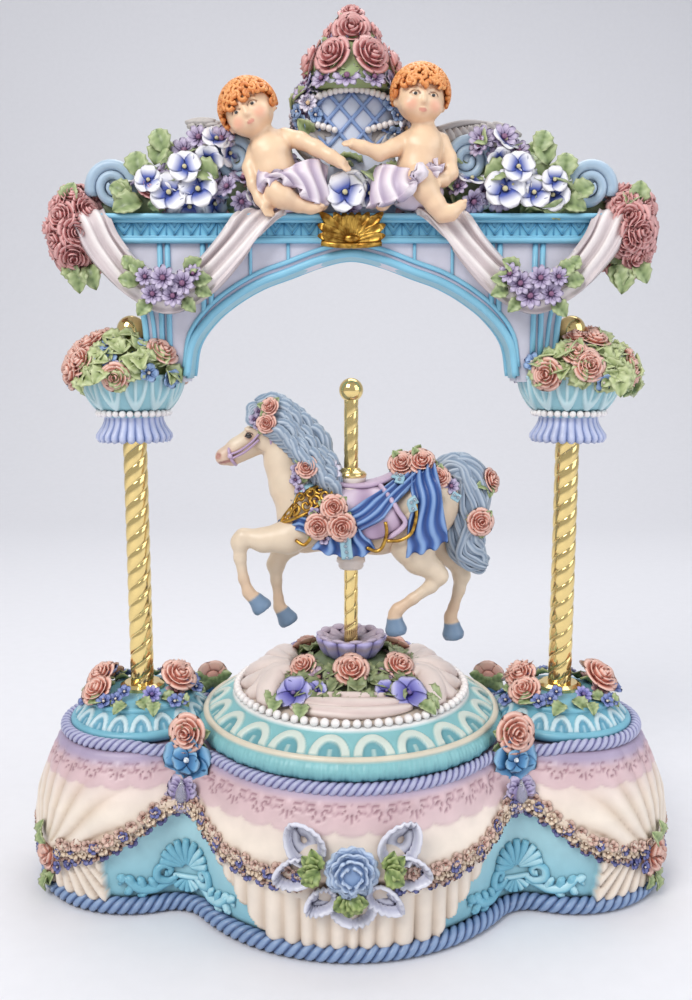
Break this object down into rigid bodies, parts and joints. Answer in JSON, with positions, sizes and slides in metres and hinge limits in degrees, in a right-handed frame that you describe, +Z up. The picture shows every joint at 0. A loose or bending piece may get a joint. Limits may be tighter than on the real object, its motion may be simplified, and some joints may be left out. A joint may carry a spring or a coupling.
{
  "type": "carousel music box",
  "caption": "Wind-up carousel music box: a painted horse rides up and down a brass pole under a flowered arch on columns.",
  "frame": {"origin": "on the floor under the centre pole, midway between the two columns", "axes": "+Z up along the pole, +X to the right seen from the front, +Y to the back, where the winding key is"},
  "size_m": [0.214, 0.1418, 0.285],
  "materials": {
    "cream_resin": "painted cast resin, satin, darker wash in the creases",
    "teal_resin": "painted cast resin, satin, pale relief on teal",
    "pearl_resin": "pearl paint on cast resin",
    "lilac_resin": "painted cast resin, satin",
    "aqua_resin": "painted cast resin, satin",
    "blue_resin": "painted cast resin, satin",
    "rose_resin": "painted cast resin, satin, darker wash between petals",
    "grey_pink_resin": "painted cast resin, satin",
    "mane_blue": "painted cast resin, satin",
    "saddle_lilac": "painted cast resin, satin",
    "gilt_resin": "gold paint on cast resin",
    "polished_brass": "polished",
    "movement_brass": "satin",
    "zinc_casting": "as cast",
    "steel": "bright plated",
    "black_board": "hard board under black felt",
    "cam_nylon": "moulded nylon"
  },
  "bodies": {
    "base": {"arch_frame": "aqua_resin", "base_plate": "black_board", "base_shell": "cream_resin", "centre_dome": "teal_resin", "column_flanges": "polished_brass", "comb": "steel", "cornice": "aqua_resin", "cornice_roses": "rose_resin", "finials": "polished_brass", "front_bow": "cream_resin", "gold_shell": "gilt_resin", "governor_bridge": "zinc_casting", "guide_tube": "polished_brass", "key_bushing": "polished_brass", "lattice_panel": "blue_resin", "left_bouquet": "rose_resin", "left_cherub": "lilac_resin", "left_column": "polished_brass", "left_dome": "teal_resin", "left_scroll": "blue_resin", "left_swag": "grey_pink_resin", "left_urn": "aqua_resin", "movement_frame": "zinc_casting", "movement_screws": "steel", "pearl_strand": "pearl_resin", "plate_screws": "steel", "pole_bushing": "polished_brass", "right_bouquet": "rose_resin", "right_cherub": "lilac_resin", "right_column": "polished_brass", "right_dome": "teal_resin", "right_scroll": "blue_resin", "right_swag": "grey_pink_resin", "right_urn": "aqua_resin", "rose_pyramid": "rose_resin", "tie_rod_nuts": "steel", "tie_rods": "steel", "tulip_cup": "lilac_resin"},
    "horse": {"centre_pole": "polished_brass", "cam_follower": "steel", "guide_pin": "steel", "pole_ball": "polished_brass", "upper_collar": "cream_resin", "lower_collar": "cream_resin", "horse": "cream_resin", "left_fore_leg": "cream_resin", "right_fore_leg": "cream_resin", "left_hind_leg": "cream_resin", "right_hind_leg": "cream_resin", "mane": "mane_blue", "tail": "mane_blue", "saddle": "saddle_lilac"},
    "cylinder": {"music_cylinder": "movement_brass", "lift_cam": "cam_nylon"},
    "barrel": {"spring_barrel": "movement_brass", "mainspring": "steel"},
    "idler": {"idler_wheel": "movement_brass"},
    "governor": {"governor_fly": "movement_brass"},
    "winder": {"winding_arbor": "steel", "winding_key": "steel"}
  },
  "joints": [
    {"name": "cylinder_turn", "type": "hinge", "parent": "base", "child": "cylinder", "pos_m": [0, 0, 0.024], "axis": [0, 1, 0], "range_deg": [0, 180]},
    {"name": "horse_lift", "type": "slide", "parent": "base", "child": "horse", "axis": [0, 0, 1], "range_m": [0, 0.012]},
    {"name": "barrel_turn", "type": "hinge", "parent": "base", "child": "barrel", "pos_m": [-0.0238, 0, 0.024], "axis": [0, 1, 0], "range_deg": [-99, 0]},
    {"name": "idler_turn", "type": "hinge", "parent": "base", "child": "idler", "pos_m": [0.0081, 0, 0.03365], "axis": [0, 1, 0], "continuous": true},
    {"name": "governor_spin", "type": "hinge", "parent": "base", "child": "governor", "pos_m": [0.01892, 0, 0.0274], "axis": [0, 1, 0], "continuous": true},
    {"name": "key_wind", "type": "hinge", "parent": "base", "child": "winder", "pos_m": [-0.0238, 0, 0.024], "axis": [0, 1, 0], "continuous": true}
  ],
  "couplings": [
    {"joint": "horse_lift", "follows": "cylinder_turn", "m_per_rad": 0.0038197},
    {"joint": "barrel_turn", "follows": "cylinder_turn", "ratio": -0.54545},
    {"joint": "idler_turn", "follows": "cylinder_turn", "ratio": -2},
    {"joint": "governor_spin", "follows": "cylinder_turn", "ratio": 8}
  ]
}
